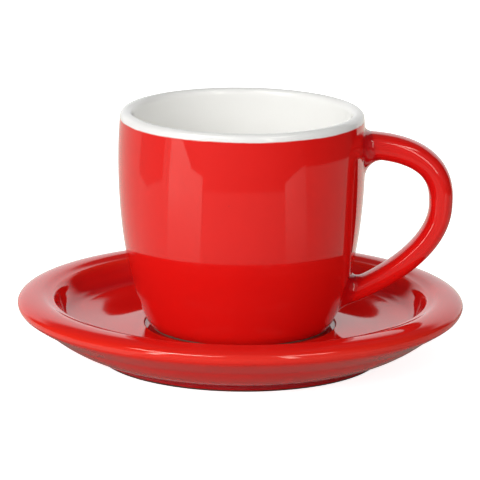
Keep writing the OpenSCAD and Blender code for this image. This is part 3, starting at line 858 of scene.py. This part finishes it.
tree, given, result = group(
    "bare_clay",
    [("Colour", "Color", CLAY_WITH_PAINTED_SHADE), ("Speck colour", "Color", CLAY_SPECK), ("Grain", "Float", 1.0)],
    [("Colour", "Color"), ("Roughness", "Float"), ("Height", "Float")],
)
place = add(tree, "TexCoord").outputs["Object"]
patches, grit = (clouds(tree, place, *pattern) for pattern in (PATCHES, GRIT))
patched_clay_with_painted_shade = blend_colours(tree, patches, given["Colour"], CLAY_PATCH_WITH_PAINTED_SHADE)
feed(tree, result, {
    "Colour": blend_colours(tree, spots(tree, place, *SPECKS), patched_clay_with_painted_shade, given["Speck colour"]),
    "Roughness": maths(tree, "ADD", maths(tree, "MULTIPLY", grit, GRIT_DULLNESS), CLAY_DULLNESS),
    "Height": maths(tree, "MULTIPLY", grit, given["Grain"]),
})
print("bare_clay has", len(tree.nodes), "nodes")

# %% Dress the clay and lay every finish on its pieces
FINISHES["stoneware"], tree, shader = new_finish("stoneware")
# The clay colour fed in here carries painted shade for the contact line under each foot ring.
clay = use(tree, "bare_clay", {"Colour": CLAY_WITH_PAINTED_SHADE, "Speck colour": CLAY_SPECK, "Grain": 1.0})
bump = add(tree, "Bump", {"Height": clay["Height"], "Strength": GRAIN_STRENGTH, "Distance": GRAIN_H})
feed(tree, shader, {"Base Color": clay["Colour"], "Roughness": clay["Roughness"], "Normal": bump.outputs["Normal"]})

for piece, _, _, finish in ROLES:
    piece.data.materials.append(FINISHES[finish])
print("finishes:", sorted(FINISHES))

# %% [markdown]
# ## The table
#
# The photograph is a plain studio shot on white, and no shadow is to be seen on it. A white table under a red saucer
# would turn grey and pink near it. So the table glows by itself, but only where the camera looks at it directly. The
# light that it throws up at the saucer is still that of a plain white board.

# %% Lay the table
TABLE_HALF, TABLE_WHITE, TABLE_DULLNESS, TABLE_SHINE, TABLE_GLOW = 3.0, 0.90, 0.6, 0.2, 0.85
WHITE_LIGHT = (1, 1, 1, 1)


def put_on_stage(name, places, faces, finish, values):
    """A sheet that belongs to the studio."""
    sheet = make_object(name, places, faces, values)
    sheet.data.materials.append(finish)
    return sheet


table_finish, tree, shader = new_finish("table_finish")
feed(tree, shader, {
    "Base Color": (TABLE_WHITE, TABLE_WHITE, TABLE_WHITE, 1), "Roughness": TABLE_DULLNESS,
    "Specular IOR Level": TABLE_SHINE, "Emission Color": WHITE_LIGHT,
    "Emission Strength": maths(tree, "MULTIPLY", add(tree, "LightPath").outputs["Is Camera Ray"], TABLE_GLOW),
})
corners = [(-TABLE_HALF, -TABLE_HALF, 0), (TABLE_HALF, -TABLE_HALF, 0),
           (TABLE_HALF, TABLE_HALF, 0), (-TABLE_HALF, TABLE_HALF, 0)]
put_on_stage("table", corners, [[0, 1, 2, 3]], table_finish, {})
print("the table is", 2 * TABLE_HALF, "m wide")

# %% [markdown]
# ## What the glaze reflects
#
# Glaze is a mirror, so what stands round a glazed cup draws half of its picture. Seen a little from above, the
# upright wall reflects the table, and the higher a place is on the wall, the further away is the place on the table
# that it shows. In the photograph the wall has a lighter field with slanting upper corners, a narrow dark strip near
# the right edge and pale edges at both sides. In a studio such bands are white and black boards round the set. They
# could be built, but then one board's move changes several bands. Here each band has a card of its own, a piece of a
# ring on the table whose glow is given strip by strip.
#
# Only reflections see the cards. The camera, soft light and shadows pass through them. A card that is brighter than
# paper would draw a second streak where the wall shows the saucer that shows the card, so from the second
# reflection on its glow is held down.

# %% Mix the finish of the cards
CARD_LIGHT, BRIGHTEST_SEEN_TWICE, NO_LIMIT = (1, 0.99, 0.88, 1), 1.0, 50.0
BETWEEN_FIRST_AND_SECOND, CARD_STEPS, CARD_Z = 1.5, 8, 0.002

card_finish, tree, shader = new_finish("card_finish")
first_time = maths(tree, "LESS_THAN", add(tree, "LightPath").outputs["Glossy Depth"], BETWEEN_FIRST_AND_SECOND)
limit = maths(tree, "ADD", maths(tree, "MULTIPLY", first_time, NO_LIMIT), BRIGHTEST_SEEN_TWICE)
own_glow = add(tree, "Attribute", attribute_name="glow").outputs["Fac"]
feed(tree, shader, {
    "Base Color": (0, 0, 0, 1), "Specular IOR Level": 0, "Roughness": 1,
    "Emission Color": CARD_LIGHT, "Emission Strength": maths(tree, "MINIMUM", own_glow, limit),
})

# %% Make a card that only reflections see
def show_only_to_reflections(name, places, faces, glow):
    card = put_on_stage(name, places, faces, card_finish, {"glow": glow})
    card.visible_camera = card.visible_diffuse = card.visible_shadow = False


def reflected_card(name, start, end, strips, steps=CARD_STEPS, z=CARD_Z):
    """A piece of a ring between two azimuths, counted from the camera's side towards +X. Each strip is (radius at the
    start, radius at the end, glow at the start, glow at the end)."""
    places, faces, glow = [], [], []
    for near_r, far_r, near_glow, far_glow in strips:
        for i in range(steps + 1):
            share = i / steps
            a, r = math.radians(start + (end - start) * share), near_r + (far_r - near_r) * share
            places.append((r * math.sin(a), -r * math.cos(a), z))
            glow.append(near_glow + (far_glow - near_glow) * share)
    for k in range(len(strips) - 1):
        for i in range(steps):
            low = k * (steps + 1) + i
            faces.append([low, low + steps + 1, low + steps + 2, low + 1])
    show_only_to_reflections(name, places, faces, glow)


# %% [markdown]
# One card lies under the saucer's overhang, which its underside shows. The others fill the circle round the saucer
# from its edge out to the room: pale ones behind, a dim one in front that ends in the edge of the lighter field, and
# at both sides the bright cards and dark gaps that make the bands.

# %% Lay the cards round the saucer
UNDER_STRIPS, UNDER_STEPS, UNDER_Z = [(0.0385, 0.0385, 0.16, 0.16), (0.0625, 0.0625, 0.20, 0.20)], 96, 0.0002
NEAR, FAR = 0.062, 2.6
CARDS = {
    "left_back_card": (-180, -112, [(NEAR, NEAR, 0.9, 0.75), (FAR, FAR, 0.9, 0.75)]),
    "left_card": (-112, -104, [(NEAR, NEAR, 0.75, 0.75), (FAR, FAR, 0.8, 0.8)]),
    "left_notch_a": (-104, -92, [
        (NEAR, NEAR, 0.75, 0.73), (0.23, 0.20, 0.85, 0.83), (0.235, 0.205, 0.42, 0.42), (FAR, FAR, 0.42, 0.42)]),
    "left_notch_b": (-92, -73.5, [
        (NEAR, NEAR, 0.73, 0.72), (0.20, 0.23, 0.83, 0.80), (0.205, 0.235, 0.42, 0.42), (FAR, FAR, 0.42, 0.42)]),
    "left_edge_card": (-73.5, -66.5, [(NEAR, NEAR, 0.72, 0.72), (0.2, 0.2, 0.85, 0.85), (FAR, FAR, 0.9, 0.9)]),
    "left_bright_a": (-66.5, -59, [
        (NEAR, NEAR, 0.75, 0.8), (0.13, 0.13, 1.1, 1.15), (0.21, 0.21, 1.7, 1.7), (1.5, 1.1, 2.1, 2.1),
        (FAR, FAR, 0.45, 0.45)]),
    "left_bright_b": (-59, -45, [
        (NEAR, NEAR, 0.8, 0.85), (0.13, 0.13, 1.15, 1.25), (0.21, 0.21, 1.7, 1.6), (0.85, 0.31, 2.1, 1.7),
        (0.87, 0.32, 0.45, 0.45), (FAR, FAR, 0.45, 0.45)]),
    "left_bright_c": (-45, -34, [
        (NEAR, NEAR, 0.85, 0.9), (0.13, 0.13, 1.25, 1.3), (0.21, 0.21, 1.6, 1.55), (0.31, 0.26, 1.7, 1.55),
        (0.32, 0.27, 0.45, 0.45), (FAR, FAR, 0.45, 0.45)]),
    "front_card": (-34, 38, [
        (NEAR, NEAR, 0.45, 0.3), (0.085, 0.085, 0.65, 0.38), (0.21, 0.21, 0.65, 0.40), (0.217, 0.217, 0.45, 0.16),
        (FAR, FAR, 0.45, 0.12)]),
    "right_bright_card": (38, 58, [
        (NEAR, NEAR, 0.4, 0.35), (0.13, 0.13, 0.7, 0.55), (0.23, 0.33, 1.0, 0.60), (0.24, 0.345, 0.15, 0.10),
        (FAR, FAR, 0.15, 0.1)]),
    "right_card": (58, 119, [
        (NEAR, NEAR, 0.35, 0.5), (0.32, 0.29, 0.35, 0.5), (0.33, 0.30, 0.06, 0.06), (FAR, FAR, 0.04, 0.04)]),
    "right_dark_card": (119, 131, [(NEAR, NEAR, 0, 0), (FAR, FAR, 0, 0)]),
    "right_back_card": (131, 180, [(NEAR, NEAR, 1.0, 0.9), (FAR, FAR, 1.0, 0.9)]),
}
reflected_card("under_card", 0, 360, UNDER_STRIPS, steps=UNDER_STEPS, z=UNDER_Z)
for name, card in CARDS.items():
    reflected_card(name, *card)
print(len(CARDS) + 1, "cards lie on the table")

# %% [markdown]
# The lip of the saucer and the upper sides of the handle face upwards, so they show what hangs high on the camera's
# side. Two long windows draw the thin bright line along the lip, and two upright strips draw the lines that run round
# the handle. They are softer at their ends, as real soft boxes are.

# %% Hang the windows
WINDOW_FAR, WINDOW_STEPS = 1.0, 10
WINDOWS = {
    "left_window": (-80, -8, 50, 57, 17.0),
    "right_window": (20, 70, 51, 57, 9.0),
    "left_strip": (-47, -39, 2, 46, 9.0),
    "right_strip": (22, 30, 2, 46, 7.0),
}


def reflected_window(name, start, end, low, high, glow):
    """A window between two azimuths and two elevations, bright in its middle and softer at its ends."""
    places, faces, shades = [], [], []
    for i in range(WINDOW_STEPS + 1):
        a = math.radians(start + (end - start) * i / WINDOW_STEPS)
        for e in (math.radians(low), math.radians(high)):
            level, up = WINDOW_FAR * math.cos(e), WINDOW_FAR * math.sin(e)
            places.append((level * math.sin(a), -level * math.cos(a), up))
            shades.append(glow * math.sin(math.pi * i / WINDOW_STEPS) ** 0.5)
        if i:
            faces.append([2 * i - 2, 2 * i, 2 * i + 1, 2 * i - 1])
    show_only_to_reflections(name, places, faces, shades)


for name, window in WINDOWS.items():
    reflected_window(name, *window)
print(len(WINDOWS), "windows hang round the table")

# %% [markdown]
# ## The lamps
#
# The cards give no light of their own to the clay and the colour under the glaze. That comes from a big soft lamp at
# the left of the camera and a weaker one above. Neither shows in the glaze, where the cards and windows stand for
# them. A small lamp inside the cup rides with it and brightens its white inside to what the photograph shows.

# %% Hang the lamps
LAMPS = {
    "key": ((-0.56, -0.97, 0.48), 0.7, 0.5, 7.0),
    "top": ((0.0, 0.10, 1.15), 0.6, 0.4, 1.5),
}
LAMPS_AIM = Vector((0, 0, 0.03))
FILL_Z, FILL_R, FILL_WATTS = 0.050, 0.012, 0.0036


def hang(name, kind, place, watts):
    lamp = bpy.data.objects.new(name, bpy.data.lights.new(name, kind))
    lamp.location, lamp.data.energy = place, watts
    lamp.visible_camera = lamp.visible_glossy = False
    bpy.context.scene.collection.objects.link(lamp)
    return lamp


for name, (place, width, height, watts) in LAMPS.items():
    lamp = hang(name, "AREA", place, watts)
    lamp.data.shape, lamp.data.size, lamp.data.size_y = "RECTANGLE", width, height
    lamp.rotation_euler = (LAMPS_AIM - Vector(place)).to_track_quat("-Z", "Y").to_euler()

fill = hang("inside_fill", "POINT", (0, 0, FILL_Z), FILL_WATTS)
fill.data.shadow_soft_size = FILL_R
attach(fill, "cup")

# %% [markdown]
# ## The room
#
# The world behind it all is seen in three ways. The camera sees plain white. Reflections see a room that is bright
# behind the cup, up to about 30 degrees, dark above and dim in front. Level glaze shows the bright part and turns
# pale, and glaze that leans towards the camera shows the dark ceiling and stays deep red. Soft light comes from low
# down all round, more from the left than from the right, and only a little from above.

# %% Light the room
BEHIND_EDGE, CEILING_EDGE, FRONT_EDGE, SIDE_EDGE = (0.64, 0.80), (0.44, 0.56), (-0.9, 0.1), (-0.1, 0.9)
ROOM_BEHIND, ROOM_FRONT, CEILING_SHARE = 1.05, (0.30, 0.03), 0.05
SOFT_SIDES, SOFT_ABOVE, SEEN_WHITE, NEARLY_UP = (0.95, 0.50), 0.22, 1.0, 0.01


def fade(tree, value, edge, levels):
    """Goes smoothly from the first level to the second as the value crosses the edge."""
    ends = {"From Min": edge[0], "From Max": edge[1], "To Min": levels[0], "To Max": levels[1]}
    return add(tree, "MapRange", {"Value": value, **ends}, interpolation_type="SMOOTHSTEP").outputs[0]


def mix(tree, share, a, b):
    return add(tree, "Mix", {0: share, 2: a, 3: b}).outputs[0]


world = bpy.data.worlds.new("room")
bpy.context.scene.world = world
world.use_nodes = True
tree = world.node_tree
rays = add(tree, "LightPath")
way = add(tree, "SeparateXYZ", {"Vector": add(tree, "TexCoord").outputs["Generated"]}).outputs
level = maths(tree, "SQRT", maths(tree, "SUBTRACT", 1.0, maths(tree, "MULTIPLY", way["Z"], way["Z"])))
backward = maths(tree, "DIVIDE", way["Y"], maths(tree, "MAXIMUM", level, NEARLY_UP))
behind = fade(tree, backward, BEHIND_EDGE, (0.0, 1.0))
under_ceiling = fade(tree, way["Z"], CEILING_EDGE, (1.0, CEILING_SHARE))
camera_side = fade(tree, backward, FRONT_EDGE, ROOM_FRONT)
reflected = mix(tree, maths(tree, "MULTIPLY", behind, under_ceiling), camera_side, ROOM_BEHIND)
soft = mix(tree, under_ceiling, SOFT_ABOVE, fade(tree, way["X"], SIDE_EDGE, SOFT_SIDES))
seen = mix(tree, rays.outputs["Is Camera Ray"], soft, SEEN_WHITE)
strength = mix(tree, rays.outputs["Is Glossy Ray"], seen, reflected)
feed(tree, tree.nodes["Background"].inputs, {"Color": WHITE_LIGHT, "Strength": strength})
bpy.context.scene.view_settings.view_transform = "Standard"
print("the room has", len(tree.nodes), "nodes")
